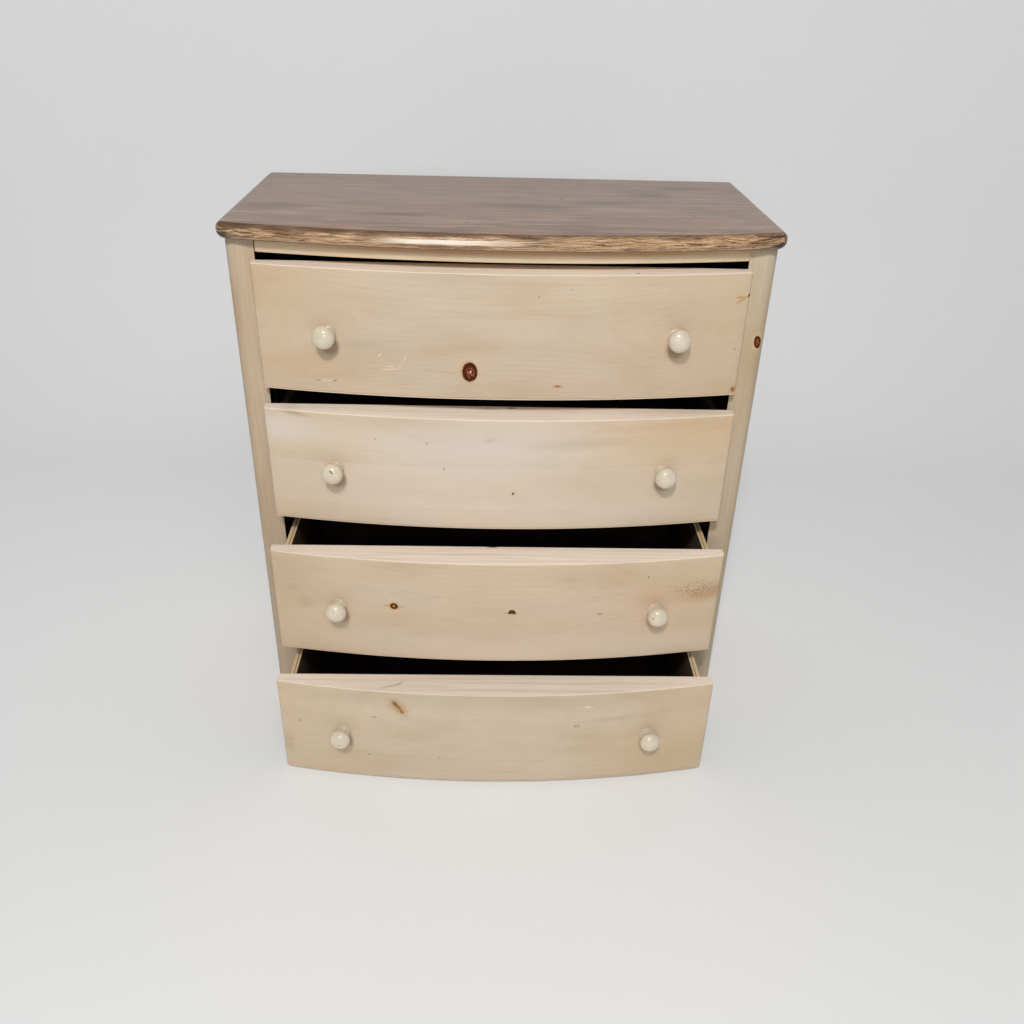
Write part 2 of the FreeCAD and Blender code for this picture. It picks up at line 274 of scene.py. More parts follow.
# Marks of each drawer front: kind, distance right of the middle, height above the lower edge,
# half length, half height, and turn in degrees.
FRONT_MARKS = {
    1: [
        ("halo", -48, 44, 16.5, 20.5, 0),
        ("amber", -48, 44, 11.8, 16, 0),
        ("resin", 349, 150, 12, 2.8, 32),
        ("resin", 345, 153.8, 8.5, 1.8, 8),
        ("pit", 358.5, 155.8, 1.8, 3.2, 0),
        ("amber", 355, 9.8, 5.4, 5.8, 20),
        ("dash", 354, 9, 2.2, 3.6, 20),
        ("resin", 83.4, 22.8, 9, 2.8, 0),
        ("dash", 83.4, 22.8, 4.5, 1.4, 0),
        ("scratch", -179, 64.7, 6, 0.7, 50),
        ("scratch", -165.5, 43.5, 13, 0.8, 2),
        ("scratch", -164, 47.7, 9, 0.5, 2),
        ("scratch", -150, 47.7, 4.5, 0.7, 52),
        ("scratch", -142.5, 60.5, 5.5, 0.7, 58),
        ("dash", -273.5, 19.3, 6, 0.8, 0),
        ("scratch", -262, 20.1, 12, 0.6, 3),
        ("dash", -248, 20.5, 3.5, 1, 20),
        ("dot", 96.9, 168.7, 1.2, 1, 0),
        ("dot", 50.6, 158.3, 1.4, 1, 0),
        ("dot", 348.7, 74.6, 1.2, 1.4, 0),
        ("blush", -300, 46.5, 70, 12, 2),
        ("blush", -270, 27.5, 60, 6, 2),
        ("smudge", -220, 80, 50, 10, 3),
    ],
    2: [
        ("lime", 70, 22, 400, 28, 0),
        ("chalk", -30, 142, 200, 50, 0),
        ("chalk", -340, 160, 90, 30, 0),
        ("tan", 270, 156, 170, 38, 3),
        ("pit", 21.1, 64.9, 2, 2.4, 0),
        ("halo", 21.1, 64.9, 7, 4, 0),
        ("pit", 21.1, 64.9, 1.8, 2.2, 0),
        ("smudge", -15.9, 156.3, 12, 5, 8),
        ("dot", -111.9, 148.5, 2.2, 1.2, 60),
        ("smudge", 145, 183, 3, 1.8, 0),
        ("dot", -190.3, 151.6, 1.4, 1.2, 0),
        ("dot", -86, 105.5, 1, 2.8, 25),
        ("blush", 260, 177.5, 110, 8, 3),
        ("blush", 340, 171.5, 30, 4.5, 6),
        ("smudge", 120, 150, 90, 10, 2),
        ("smear", -312, 185, 23, 4, -6),
    ],
    3: [
        ("lime", 90, 20, 380, 36, 0),
        ("smudge", -350, 150, 80, 60, 0),
        ("halo", -165.9, 103.7, 12.5, 11, 0),
        ("resin", -165.9, 103.7, 10, 8, 0),
        ("dash", -179, 104, 5, 0.7, 0),
        ("dash", -154, 103.2, 4, 0.6, 0),
        ("halo", 22.7, 96.5, 12, 5.5, 0),
        ("resin", 22.7, 96.5, 10, 3.6, 0),
        ("dash", 12, 97.5, 4, 0.6, 0),
        ("dash", 165.2, 92.1, 6, 1.1, 0),
        ("pit", 238.7, 159.2, 1.4, 1.3, 0),
        ("smudge", 114.2, 160.3, 12, 5.5, 0),
        ("smudge", -309.3, 97.1, 16, 12, 0),
        ("smudge", -330, 123.7, 12, 6, 0),
        ("smudge", 155, 125.5, 10, 2, 0),
        ("toast", 340, 118, 50, 17, 6),
        ("blush", 260, 122, 50, 18, 4),
    ],
    4: [
        ("smudge", 0, 176, 320, 26, 0),
        ("tan", 280, 45, 160, 60, 0),
        ("toast", -161, 159.5, 24, 14, -50),
        ("toast", -160, 158, 18, 9.5, -50),
        ("resin", -159.5, 157, 12, 4.8, -50),
        ("dash", -165.5, 166, 6.2, 4, -55),
        ("dash", -160.5, 159.8, 9.5, 2.2, -50),
        ("dash", -154.5, 148.5, 4.5, 3.2, -50),
        ("dash", -200.9, 133.6, 6, 1.2, -4),
        ("dot", 133.8, 121.6, 4.6, 3, 0),
        ("scratch", 133.8, 121.6, 2.2, 1.4, 0),
        ("dot", -213, 48.6, 2.4, 1.4, 30),
        ("dot", -94.9, 51.1, 1.8, 1.2, 0),
        ("dot", -327.4, 109.4, 1.2, 3, 0),
        ("scratch", 150, 162, 6, 1.8, 0),
        ("smudge", 200, 134.5, 70, 6, 4),
    ],
}
SPECK = srgb(112, 70, 32)
KNOB_SHADE = srgb(122, 76, 44)
# Patches of fine dark specks, in the same measures without the kind.
FRONT_SPECKS = {
    3: [(342, 125, 30, 19, 8), (320, 131, 42, 17.5, 4)],
    4: [(-350, 59, 11, 26, 0)],
}
# Marks on the upper edge of each front: kind, right of the middle, ahead of the back face,
# half length, half depth, and turn in degrees.
EDGE_MARKS = {
    1: [("pit", 191, 33.6, 3.4, 1.6, 0)],
    2: [("pit", 15.2, 5, 9, 1.6, 4),
        ("smear", -20, 10, 20, 3, 0)],
    3: [("blush", -38.8, 23, 55, 3, 3),
        ("blush", 20, 33, 50, 2, -3),
        ("blush", -100, 14, 70, 2.4, 0),
        ("pit", -10, 1, 10, 1.2, 0)],
    4: [("smear", -170, 28, 20, 2.6, 20),
        ("smear", -159, 23, 9, 2, 40),
        ("blush", 30, 20, 150, 3, 0)],
}


def add_mark(finish, colour, kind, centre, radii, turn):
    """One mark laid over a colour."""
    tint, strength, softness = MARK_KINDS[kind]
    reach = finish.spot(centre, radii, turn)
    amount = finish.step(reach, 1.0 + softness / 2, 1.0 - softness, 0.0, strength)
    return finish.blend(amount, colour, tint)


def deepen_knob_shadows(finish, colour, number):
    """Soft brown spots that deepen the shadows under the two knobs of a drawer front."""
    for side in (-1, 1):
        seat = knob_seat(number, side)[0]
        centre = (seat.x + 0.0020, 0, seat.z - 0.0190)
        reach = finish.spot(centre, (0.0165, THROUGH, 0.0170))
        colour = finish.lay(colour, KNOB_SHADE, reach, 1.15, 0.55, 0.48)
    return colour


def add_front_marks(finish, colour, number):
    """The marks of one drawer front, on its face and on its upper edge."""
    low, high = front_box(number)
    colour = deepen_knob_shadows(finish, colour, number)
    for kind, right, up, length, height, turn in FRONT_MARKS[number]:
        centre = (right * MM, 0, low.z + up * MM)
        colour = add_mark(finish, colour, kind, centre, (length * MM, THROUGH, height * MM),
                          about_y(turn))
    for kind, right, ahead, length, depth, turn in EDGE_MARKS[number]:
        centre = (right * MM, high.y - ahead * MM, high.z)
        colour = add_mark(finish, colour, kind, centre, (length * MM, depth * MM, 0.012),
                          (0, 0, math.radians(turn)))
    for right, up, length, height, turn in FRONT_SPECKS.get(number, []):
        centre = (right * MM, 0, low.z + up * MM)
        inside = finish.spot(centre, (length * MM, THROUGH, height * MM), about_y(turn))
        inside = finish.step(inside, 1.3, 0.4)
        speck = finish.noise((0.0017, 0.02, 0.0012), detail=2.0)
        speck = finish.times(inside, finish.step(speck, 0.52, 0.64, 0.0, 0.75))
        colour = finish.blend(speck, colour, SPECK)
    return colour


# ---- wood -----------------------------------------------------------------------------------
def wood_rings(finish, axis, pith, spacing, wander, knots=()):
    """Late wood of growth rings about a pith line along an axis, from 0 to 1."""
    along = "xyz".index(axis)
    flat = [1.0, 1.0, 1.0]
    flat[along] = 500.0
    radius = finish.distance(finish.move(tuple(flat), pith))
    slow = [0.10, 0.10, 0.10]
    slow[along] = 0.50
    stray = finish.noise(tuple(slow), detail=2.0, roughness=0.35)
    radius = finish.math("ADD", radius, finish.times(stray, wander))
    for centre, radii, swell in knots:
        reach = finish.spot(centre, radii)
        bulge = finish.step(reach, 1.0, 0.0, 0.0, swell)
        radius = finish.math("ADD", radius, bulge)
    turn = finish.math("FRACT", finish.math("DIVIDE", radius, spacing))
    late = finish.step(turn, 0.25, 0.86)
    sharp = finish.step(turn, 0.90, 1.0, 1.0, 0.0)
    return finish.times(late, sharp)


def stretched(axis, across, along):
    """Scale of a pattern that is drawn out along the grain."""
    scale = [across, across, across]
    scale["xyz".index(axis)] = along
    return tuple(scale)


LIMED_PINK = srgb(214, 188, 170)
LIMED_GREY = srgb(204, 192, 174)
# Pale arrises: wear, and a painted highlight along them.
WORN_EDGE_AND_HIGHLIGHT = srgb(240, 224, 198)
PAINTED_LIGHT_CROWN = srgb(246, 232, 216)      # upper edges painted paler, as painted light from above
PAINTED_SHADE_FOOT = srgb(184, 150, 114)  # painted shade: a browner band just above the lower arris
END_WARMTH = srgb(204, 176, 138)


def limed_pine(name, axis, pith, mean, spacing=0.0052, wander=0.030, knots=(), marks=None,
               strips=(), rims=None, figure=0.5):
    """Pine under a thin lime wash and satin lacquer; mean is its colour on a 0 to 255 scale."""
    finish = Finish(name)
    light = srgb(*(level + 5 for level in mean))
    dark = srgb(mean[0] - 8, mean[1] - 11, mean[2] - 14)
    streak_shade = srgb(mean[0] - 16, mean[1] - 22, mean[2] - 28)
    rings = wood_rings(finish, axis, pith, spacing, wander, knots)
    fibre = finish.noise(stretched(axis, 0.0011, 0.05), detail=3.0, roughness=0.6)
    streak = finish.noise(stretched(axis, 0.006, 0.24), detail=4.0, roughness=0.6)
    cloud = finish.noise(stretched(axis, 0.05, 0.16), detail=3.0)
    tint = finish.noise(stretched(axis, 0.10, 0.34), (3, 1, 2), detail=1.0)

    colour = finish.ramp(cloud, [(0.28, dark), (0.47, srgb(*mean)), (0.68, light)])
    colour = finish.lay(colour, LIMED_PINK, tint, 0.50, 0.74, 0.40)
    colour = finish.lay(colour, LIMED_GREY, tint, 0.48, 0.28, 0.40)
    colour = finish.lay(colour, streak_shade, streak, 0.50, 0.78, 0.40)
    colour = finish.blend(finish.times(rings, figure * 0.40), colour, streak_shade)
    colour = finish.lay(colour, streak_shade, fibre, 0.35, 0.75, 0.22)
    for low, high, shade, amount in strips:
        height = finish.split()[2]
        inside = finish.times(finish.step(height, low - 0.0004, low + 0.0004),
                              finish.step(height, high - 0.0004, high + 0.0004, 1.0, 0.0))
        fading = finish.step(finish.split()[0], 0.26, -0.10, amount * 0.35, amount)
        colour = finish.blend(finish.times(inside, fading), colour, shade)
    if rims:
        colour = shade_rims(finish, colour, streak, *rims)
    if marks:
        colour = marks(finish, colour)
    # Pale arrises: wear and painted highlight.
    wear_and_highlight = finish.noise(stretched(axis, 0.01, 0.03), detail=3.0)
    wear_and_highlight = finish.times(finish.worn(), finish.step(wear_and_highlight, 0.35, 0.62, 0.15, 0.65))
    colour = finish.blend(wear_and_highlight, colour, WORN_EDGE_AND_HIGHLIGHT)

    roughness = finish.step(streak, 0.3, 0.7, 0.38, 0.50)
    relief = finish.math("ADD", finish.times(rings, 0.6), fibre)
    normal = finish.bump(relief, 0.10, 0.0004)
    return finish.close(colour, roughness, normal, Specular_IOR_Level=0.12)


def shade_rims(finish, colour, streak, low, high):
    """Warmer ends of a drawer front, painted light on its upper edge, and painted shade
    above its lower arris, which is pale with wear and painted highlight.
    """
    right, _, height = finish.split()
    end = finish.step(finish.math("ABSOLUTE", right), 0.12, high.x, 0.0, 0.30)
    colour = finish.blend(end, colour, END_WARMTH)
    ragged = finish.noise((0.03, 0.02, 0.004), detail=3.0)
    height = finish.stray(height, ragged, 0.0010)
    # Painted shade: a browner band just above the lower arris.
    foot = finish.step(height, low.z + 0.0042, low.z + 0.0026, 0.0, 0.55)
    colour = finish.blend(foot, colour, PAINTED_SHADE_FOOT)
    # The lower arris: a pale line of wear and painted highlight.
    lip = finish.step(height, low.z + 0.0022, low.z + 0.0014, 0.0, 0.85)
    colour = finish.blend(lip, colour, WORN_EDGE_AND_HIGHLIGHT)
    # Painted light: the upper edge painted paler and pinker.
    top = finish.step(height, high.z - 0.0013, high.z - 0.0005, 0.0, 0.85)
    colour = finish.blend(top, colour, PAINTED_LIGHT_CROWN)
    pink = finish.times(top, finish.step(streak, 0.40, 0.7, 0, 0.6))
    return finish.blend(pink, colour, LIMED_PINK)


def raw_wood(name, axis, pith, light, dark, spacing=0.004):
    """Softwood of the inside and the back, painted as dark as it stands in shade."""
    finish = Finish(name)
    rings = wood_rings(finish, axis, pith, spacing, 0.025)
    fibre = finish.noise(stretched(axis, 0.0014, 0.05), detail=3.0, roughness=0.6)
    cloud = finish.noise(stretched(axis, 0.05, 0.16), detail=2.0)
    colour = finish.ramp(cloud, [(0.32, dark), (0.66, light)])
    colour = finish.blend(finish.times(rings, 0.45), colour, dark)
    colour = finish.lay(colour, dark, fibre, 0.40, 0.78, 0.30)
    normal = finish.bump(finish.math("ADD", rings, fibre), 0.2, 0.0005)
    return finish.close(colour, finish.step(fibre, 0.2, 0.8, 0.54, 0.74), normal)


STAIN_MEAN = srgb(144, 114, 92)
STAIN_LIGHT = srgb(172, 143, 121)
STAIN_DARK = srgb(104, 77, 60)
STAIN_RUST = srgb(156, 112, 86)
NOSE_GOLD = srgb(180, 142, 101)
NOSE_PALE = srgb(224, 190, 152)
NOSE_PAINTED_HIGHLIGHT = srgb(252, 240, 222)   # painted highlight: a pale strip across the middle of the nosing
NOSE_DARK = srgb(54, 33, 18)
NOSE_BROWN = srgb(116, 80, 48)
NOSE_DUSK = srgb(84, 56, 36)
NOSE_TIP = srgb(22, 15, 10)        # lower tips at the two front corners

# Marks on the top: kind, right of the middle, behind the posts' faces, half length, half depth.
TOP_MARKS = [
    ("cloud", -162.2, 61.9, 48, 13),
    ("cloud", 20, 137, 90, 17),
    ("cloud", 50, 132, 50, 8),
    ("cloud", 242, 227.9, 34, 14),
    ("cloud", -350, 105, 50, 22),
    ("rust", -60, 150, 130, 50),
    ("rust", -330, 170, 90, 50),
    ("rust", 200, 40, 150, 30),
    ("speck", -53.1, 19.7, 2.2, 2.4),
    ("speck", -35.9, 9.1, 2.6, 1.8),
    ("speck", -205.8, 97.4, 2.6, 1.6),
    ("speck", 93.6, 193.2, 2, 5),
    ("speck", 129.5, 315.3, 1.2, 6),
    ("speck", 124.5, 66, 7, 1.6),
    ("speck", 286.4, 91, 3, 4),
    ("cloud", 150, 165, 50, 12),
    ("cloud", 310, 290, 50, 14),
    ("speck", 270, 50, 2.4, 1.6),
    ("speck", -348, 340, 6, 3),
]
TOP_MARK_KINDS = {
    "cloud": (srgb(72, 48, 34), 0.60, 1.2),
    "rust": (STAIN_RUST, 0.30, 1.2),
    "speck": (srgb(44, 30, 22), 0.85, 0.7),
}
# Dark splits at the right front corner of the nosing: middle and half sizes, in millimetres.
NOSE_SPLITS = [
    ((390, -8, 896.2), (13, 20, 1.3)),
    ((401.5, 0, 889.5), (1.7, 15, 6.5)),
    ((396.5, -6, 887.2), (2.2, 15, 1.2)),
    ((370, -15, 893), (12, 20, 0.8)),
]


def stained_top():
    """Grey-brown stained top whose worn nosing shows golden wood with dark wavy grain."""
    finish = Finish("stained_top")
    low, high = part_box("top_board")
    streak = finish.noise((0.13, 0.013, 0.010), detail=4.0, roughness=0.6, distortion=0.25)
    fibre = finish.noise((0.045, 0.0012, 0.0012), detail=3.0, roughness=0.6)
    cloud = finish.noise((0.11, 0.05, 0.07), (5, 2, 0), detail=3.0)
    stain = finish.ramp(streak, [(0.34, STAIN_DARK), (0.48, STAIN_MEAN), (0.62, STAIN_LIGHT)])
    stain = finish.lay(stain, STAIN_RUST, cloud, 0.52, 0.68, 0.50)
    stain = finish.lay(stain, STAIN_DARK, cloud, 0.48, 0.34, 0.35)
    stain = finish.lay(stain, STAIN_DARK, fibre, 0.45, 0.80, 0.50)
    right, behind, level = finish.split()
    edge = finish.step(level, high.z - 0.0010, high.z - 0.0060, 0.0, 0.75)
    stain = finish.blend(edge, stain, STAIN_MEAN)
    ragged = finish.noise((0.030, 0.006, 0.01), detail=3.0)
    for kind, across, back, length, depth in TOP_MARKS:
        tint, strength, softness = TOP_MARK_KINDS[kind]
        reach = finish.stray(finish.spot((across * MM, back * MM, high.z),
                                         (length * MM, depth * MM, 0.1)), ragged, 0.9)
        amount = finish.step(reach, 1.0 + softness / 2, 1.0 - softness * 0.7, 0.0, strength)
        stain = finish.blend(amount, stain, tint)

    slow = finish.noise((0.050, 0.050, 0.030), detail=1.0)
    quick = finish.noise((0.014, 0.014, 0.005), detail=2.0)
    shift = finish.math("ADD", finish.times(slow, 0.009), finish.times(quick, 0.0024))
    wavy = finish.node("ShaderNodeVectorMath", {0: shift, 1: (0, 1, 1), 2: finish.place},
                       operation="MULTIPLY_ADD").outputs[0]
    grain = finish.noise((0.050, 0.0040, 0.0011), place=wavy, detail=5.0, roughness=0.75)
    crack = finish.noise((0.045, 0.0050, 0.0008), (2, 1, 1), place=wavy, detail=3.0)
    patch = finish.noise((0.07, 0.06, 0.010), (1, 4, 2), detail=3.0)
    nose = finish.ramp(grain, [(0.36, NOSE_BROWN), (0.48, NOSE_GOLD), (0.60, NOSE_PALE)])
    nose = finish.lay(nose, NOSE_BROWN, patch, 0.46, 0.68, 0.60)
    side = finish.math("ABSOLUTE", right)
    corner = finish.step(side, high.x - 0.080, high.x - 0.010, 0.0, 0.09)
    threshold = finish.math("ADD", crack, corner)
    nose = finish.lay(nose, NOSE_DARK, threshold, 0.55, 0.60, 0.85)

    rim = finish.noise((0.010, 0.010, 0.004), detail=3.0)
    height = finish.stray(level, rim, 0.0007)
    bare = finish.times(finish.step(height, high.z - 0.0001, high.z - 0.0006),
                        finish.step(finish.stray(behind, rim, 0.004), 0.0045, -0.0005))
    line = finish.step(height, high.z - 0.0016, high.z - 0.0005, 0.0, 0.70)
    nose = finish.blend(line, nose, NOSE_DUSK)
    deep = finish.stray(level, patch, 0.010)
    dusk = finish.step(deep, high.z - 0.0085, high.z - 0.0030)
    dusk = finish.times(dusk, finish.step(right, -0.04, 0.16, 0.75, 0.25))
    nose = finish.blend(dusk, nose, NOSE_DUSK)
    lip = finish.times(finish.step(height, low.z + 0.0060, low.z + 0.0044),
                       finish.step(grain, 0.44, 0.54, 0.0, 0.7))
    nose = finish.blend(lip, nose, NOSE_PALE)
    foot = finish.step(height, low.z + 0.0036, low.z + 0.0024, 0.0, 0.80)
    nose = finish.blend(foot, nose, NOSE_DUSK)
    for centre, radii in NOSE_SPLITS:
        reach = finish.stray(finish.spot(Vector(centre) * MM, Vector(radii) * MM), quick, 1.2)
        nose = finish.lay(nose, NOSE_DARK, reach, 1.3, 0.7, 0.85)
    # Painted highlight: a pale strip at mid-height of the nosing, left of the middle.
    middle = finish.gap(height, low.z + 0.0128)
    painted_highlight = finish.times(finish.step(middle, 0.0042, 0.0016), finish.step(right, -0.200, -0.120))
    painted_highlight = finish.times(painted_highlight, finish.step(right, -0.085, 0.070, 0.90, 0.0))
    nose = finish.blend(painted_highlight, nose, NOSE_PAINTED_HIGHLIGHT)
    colour = finish.blend(bare, stain, nose)
    tip = finish.step(side, high.x - 0.030, high.x - 0.012, 0.0, 0.95)
    tip = finish.times(tip, finish.step(behind, 0.018, 0.004))
    under = finish.step(finish.stray(level, rim, 0.006), low.z + 0.0125, low.z + 0.0085)
    colour = finish.blend(finish.times(tip, under), colour, NOSE_TIP)
    polish = finish.step(height, high.z - 0.0070, high.z - 0.0088, 0.62, 0.22)
    roughness = finish.blend(bare, finish.step(streak, 0.3, 0.7, 0.30, 0.42), polish)
    relief = finish.math("SUBTRACT", grain, finish.step(crack, 0.53, 0.63))
    rough = finish.step(finish.math("ABSOLUTE", finish.math("ADD", right, 0.07)), 0.10, 0.20, 0.10,
                        1.0)
    relief = finish.blend(bare, finish.times(fibre, 0.25), finish.times(relief, rough))
    normal = finish.bump(relief, 0.15, 0.0004)
    return finish.close(colour, roughness, normal, Coat_Weight=0.08, Coat_Roughness=0.10,
                        Specular_IOR_Level=0.50)


# Flaws in the glaze: drawer, side, right of and above the middle of the ball, half length,
# half height and turn in degrees.
GLAZE_FLAWS = [
    (2, -1, 2.2, 8.6, 3.6, 1.6, -38),
    (2, -1, 4, 7.6, 1.6, 0.7, -38),
    (2, -1, 3, 3, 0.8, 0.6, 0),
    (3, 1, -11, 4.5, 1.4, 1.4, 0),
    (3, -1, 0.3, 8, 0.8, 0.8, 0),
    (4, -1, 2.8, -1.5, 1.3, 1.3, 0),
]


def cream_glaze():
    """Glossy cream knob: faint speckles, a chip, pinholes, and painted shade between its beads."""
    finish = Finish("cream_glaze")
    cloud = finish.noise((0.012, 0.012, 0.012), detail=3.0)
    fleck = finish.noise((0.0012, 0.0012, 0.0012), detail=2.0)
    colour = finish.ramp(cloud, [(0.3, srgb(213, 200, 177)), (0.7, srgb(224, 213, 193))])
    colour = finish.lay(colour, srgb(190, 168, 136), fleck, 0.54, 0.74, 0.50)
    height = finish.split()[2]
    for number in DRAWERS:
        low, high = front_box(number)
        bow = front_bow(number)
        out = finish.distance(finish.move((1, 1, 500), (0, low.y + bow, 0)))
        out = finish.math("SUBTRACT", out, bow)
        between = finish.times(finish.step(height, low.z - 0.001, low.z),
                               finish.step(height, high.z, high.z + 0.001, 1.0, 0.0))
        # Painted shade in the hollows beside the beads.
        for groove in KNOB_GROOVES:
            away = finish.gap(out, groove)
            groove_shade = finish.times(finish.step(away, 0.0008, 0.0002, 0.0, 0.50), between)
            colour = finish.blend(groove_shade, colour, srgb(150, 122, 90))
    for number, side, right, up, length, height, turn in GLAZE_FLAWS:
        point, outward = knob_seat(number, side)
        centre = point + Vector((right, 0,
                                 up)) * MM + outward * (KNOB_BALL_CENTRE + KNOB_BALL_DEPTH)
        flaw = finish.spot(centre, (length * MM, KNOB_BALL_DEPTH, height * MM), about_y(turn))
        colour = finish.lay(colour, srgb(112, 96, 76), flaw, 1.3, 0.6, 0.85)
    normal = finish.bump(cloud, 0.08, 0.0006)
    return finish.close(colour, finish.step(cloud, 0.3, 0.7, 0.15, 0.20), normal,
                        Specular_IOR_Level=0.40)


SIDE_LINE = srgb(128, 96, 64)
SHADED_SIDE = srgb(100, 80, 62)
SHADED_GRAIN = srgb(44, 33, 24)


def drawer_side_wood(light, dark, dusk):
    """Drawer side: cream top edge with a darker line, and faces below it painted in shade."""
    finish = Finish("drawer_side_wood")
    fibre = finish.noise((0.0012, 0.06, 0.0012), detail=3.0, roughness=0.6)
    cloud = finish.noise((0.04, 0.16, 0.04), detail=2.0)
    colour = finish.ramp(cloud, [(0.3, dark), (0.7, light)])
    colour = finish.lay(colour, dark, fibre, 0.40, 0.75, 0.30)
    place = finish.split()
    side = finish.math("ABSOLUTE", place[0])
    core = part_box("drawer_1_side_right")[0].x + 0.4 * DRAWER_SIDE_THICKNESS
    line = finish.step(finish.gap(side, core), 0.0012, 0.0006, 0.0, 0.75)
    colour = finish.blend(line, colour, SIDE_LINE)
    shaded = finish.blend(cloud, dusk, SHADED_SIDE)
    shaded = finish.lay(shaded, SHADED_GRAIN, fibre, 0.42, 0.70, 0.45)
    for number in DRAWERS:
        low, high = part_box("drawer_%d_side_right" % number)
        height = finish.math("SUBTRACT", place[2], high.z)
        # Drawers 1 and 2 have their top edges painted in shade too.
        edge = 0.002 if number < 3 else 0.0
        below = finish.times(finish.step(height, edge - 0.0002, edge - 0.0010),
                             finish.step(height, low.z - high.z - 0.01, low.z - high.z))
        colour = finish.blend(below, colour, shaded)
    normal = finish.bump(fibre, 0.2, 0.0005)
    return finish.close(colour, finish.step(fibre, 0.2, 0.8, 0.5, 0.65), normal)


def plated_steel():
    """Dull zinc plating of the screws and nails."""
    finish = Finish("plated_steel")
    cloud = finish.noise((0.002, 0.002, 0.002), detail=3.0)
    colour = finish.ramp(cloud, [(0.3, srgb(140, 136, 128)), (0.7, srgb(196, 192, 184))])
    return finish.close(colour, finish.step(cloud, 0.3, 0.7, 0.28, 0.45),
                        finish.bump(cloud, 0.1, 0.0002), Metallic=1.0)


# ---- workshop: small steps that the pieces share --------------------------------------------
def deselect():
    bpy.ops.object.select_all(action="DESELECT")


def take(piece):
    """Make one object the only selected one and the active one."""
    deselect()
    piece.select_set(True)
    bpy.context.view_layer.objects.active = piece


def settle():
    """Bring the place, turn and size of the taken piece into its mesh."""
    bpy.ops.object.transform_apply(location=True, rotation=True, scale=True)


def work_on(piece):
    """Take a piece and open it for editing."""
    take(piece)
    bpy.ops.object.mode_set(mode="EDIT")


def select_all():
    bpy.ops.mesh.select_all(action="SELECT")


def put_down():
    bpy.ops.object.mode_set(mode="OBJECT")


def pick(piece, kind, test):
    """Select the vertices, edges or faces of an open piece whose place passes a test."""
    mode = {"verts": "VERT", "edges": "EDGE", "faces": "FACE"}[kind]
    bpy.ops.mesh.select_mode(type=mode)
    bpy.ops.mesh.select_all(action="DESELECT")
    mesh = bmesh.from_edit_mesh(piece.data)
    for part in getattr(mesh, kind):
        if kind == "verts":
            part.select = test(part.co)
        elif kind == "edges":
            part.select = test(part.verts[0].co, part.verts[1].co)
        else:
            part.select = test(part.calc_center_median(), part.normal)
    mesh.select_flush_mode()
    bmesh.update_edit_mesh(piece.data)


def mark_worn(piece, width):
    """Mark the middle of the rounding that a bevel of some width has just made as worn."""
    mesh = bmesh.from_edit_mesh(piece.data)
    layer = mesh.verts.layers.float.get(WORN) or mesh.verts.layers.float.new(WORN)
    narrow = set()
    for face in mesh.faces:
        longest = max(edge.calc_length() for edge in face.edges)
        if face.select and face.calc_area() < 1.2 * width * longest:
            narrow.add(face)
    for vert in mesh.verts:
        if vert.link_faces and all(face in narrow for face in vert.link_faces):
            vert[layer] = 1.0
    bmesh.update_edit_mesh(piece.data)


def round_over(piece, width, segments, worn=True):
    """Round the selected edges over, and mark the rounding as worn where asked."""
    bpy.ops.mesh.bevel(offset=width, offset_type="OFFSET", segments=segments, affect="EDGES",
                       clamp_overlap=True)
    if worn:
        mark_worn(piece, width)


def face_outwards():
    select_all()
    bpy.ops.mesh.remove_doubles(threshold=0.00001)
    bpy.ops.mesh.normals_make_consistent(inside=False)


def finish_piece(piece, body, node, material, smooth=40):
    """Give a modelled piece its finish, smooth its roundings and set it on its body."""
    take(piece)
    settle()
    bpy.ops.object.shade_smooth_by_angle(angle=math.radians(smooth))
    piece.data.materials.clear()
    piece.data.materials.append(material)
    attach(piece, body)
    if node:
        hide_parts(node)
    return piece


def eased_board(node, name, body, material, ease=BOARD_EASE):
    """A planed board of the CAD model with its sharp arrises softened."""
    board = bpy.data.objects.new(name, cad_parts[node].data.copy())
    bpy.context.scene.collection.objects.link(board)
    work_on(board)
    select_all()
    bpy.ops.mesh.remove_doubles(threshold=0.00001)
    bpy.ops.mesh.dissolve_limited(angle_limit=math.radians(0.3))
    bpy.ops.mesh.select_mode(type="EDGE")
    bpy.ops.mesh.select_all(action="DESELECT")
    bpy.ops.mesh.edges_select_sharp(sharpness=math.radians(35))
    round_over(board, ease, 2)
    put_down()
    return finish_piece(board, body, node, material)


def upright_edge(name, x, y, low, high):
    """An object that holds a single upright edge, to be spun or extruded."""
    size = high - low
    bpy.ops.mesh.primitive_plane_add(size=size, location=(x - size / 2, y, (low + high) / 2),
                                     rotation=(math.pi / 2, 0, 0))
    piece = bpy.context.active_object
    piece.name = name
    settle()
    work_on(piece)
    pick(piece, "verts", lambda co: co.x < x - size / 2)
    bpy.ops.mesh.delete(type="VERT")
    return piece


def bowed_block(name, half, ends, middle, back, low, high):
    """A board with a flat back and a front spun to one arc; it stays open for editing."""
    rise = ends - middle
    radius = (half ** 2 + rise ** 2) / (2 * rise)
    piece = upright_edge(name, -half, ends, low, high)
    select_all()
    bpy.ops.mesh.spin(steps=BOW_STEPS, angle=2 * math.asin(half / radius),
                      center=(0, middle + radius, 0), axis=(0, 0, -1))
    select_all()
    bpy.ops.mesh.extrude_region()
    bpy.ops.transform.resize(value=(1, 0, 1), center_override=(0, back, 0))
    face_outwards()
    return piece


